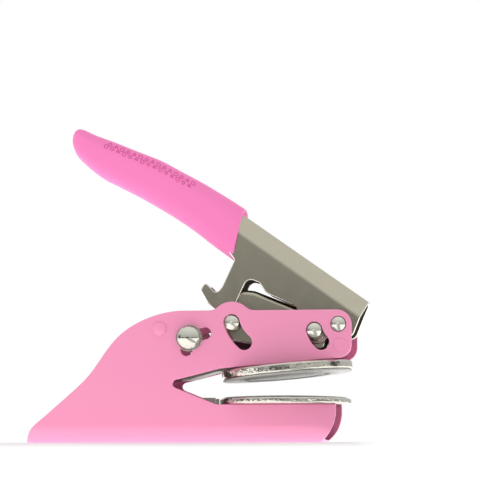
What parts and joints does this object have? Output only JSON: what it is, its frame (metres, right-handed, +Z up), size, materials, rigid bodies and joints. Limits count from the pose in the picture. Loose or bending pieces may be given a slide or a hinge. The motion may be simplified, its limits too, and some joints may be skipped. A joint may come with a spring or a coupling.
{
  "type": "seal embosser",
  "caption": "Hand seal embosser: a folded steel frame, a sprung lever with a soft grip, a lock pin with domed knobs, and round dies on a hairpin clip that press a raised seal into paper",
  "frame": {"origin": "middle of the footprint on the table, at the height of the frame's floor", "axes": "+X towards the jaws and dies, +Z up, the middle plane of the folded frame at Y = 0"},
  "size_m": [0.134, 0.0514, 0.1248],
  "materials": {
    "pink_paint": "smooth semi-gloss pink powder coat",
    "grip_plastic": "soft matte moulded pink plastic",
    "nickel_plate": "satin nickel plated steel sheet",
    "pin_steel": "bright nickel plated steel",
    "knob_chrome": "polished nickel",
    "holder_chrome": "polished nickel rims",
    "die_metal": "fine matte metal",
    "counter_die": "matte light grey plastic",
    "spring_steel": "bright spring steel",
    "pad_steel": "plain machined steel"
  },
  "bodies": {
    "frame": {"frame_shell": "pink_paint", "rear_spacer": "pink_paint", "front_spacer": "pink_paint", "clip_anchor_rod": "pin_steel", "lever_pivot_pin": "pin_steel", "pivot_bushes": "pin_steel", "return_spring": "spring_steel", "lower_die_holder": "holder_chrome", "lower_die_plate": "counter_die", "die_clip_spring": "spring_steel", "lower_clip_rivets": "pin_steel"},
    "lever": {"lever_channel": "nickel_plate", "grip": "grip_plastic", "travel_pin": "pin_steel", "link_pin": "pin_steel"},
    "press_arm": {"press_arm": "nickel_plate", "guide_pin": "pin_steel", "pressure_pad": "pad_steel", "pad_pin": "pin_steel"},
    "upper_die": {"upper_die_holder": "holder_chrome", "upper_die_plate": "die_metal", "upper_clip_rivets": "pin_steel"},
    "lock": {"lock_pin": "pin_steel", "lock_knobs": "knob_chrome", "lock_washers": "pin_steel"}
  },
  "joints": [
    {"name": "lever_pivot", "type": "hinge", "parent": "frame", "child": "lever", "pos_m": [0.05586, 0, 0.0458], "axis": [0, -1, 0], "range_deg": [0, 31], "stiffness_Nm_per_rad": 0.8, "springref_deg": -28.65, "deforming": ["return_spring"]},
    {"name": "arm_link", "type": "hinge", "parent": "lever", "child": "press_arm", "pos_m": [0.04015, 0, 0.04109], "axis": [0, -1, 0], "range_deg": [-31, 0]},
    {"name": "die_swing", "type": "hinge", "parent": "frame", "child": "upper_die", "pos_m": [-0.04454, 0, 0.0279], "axis": [0, 1, 0], "range_deg": [0, 5.2], "deforming": ["die_clip_spring"]},
    {"name": "lock_slide", "type": "slide", "parent": "frame", "child": "lock", "axis": [0.9598, 0, 0.2807], "range_m": [0, 0.0065]}
  ],
  "couplings": [
    {"joint": "arm_link", "follows": "lever_pivot", "ratio": -1},
    {"joint": "die_swing", "follows": "lever_pivot", "ratio": 0.16774}
  ]
}
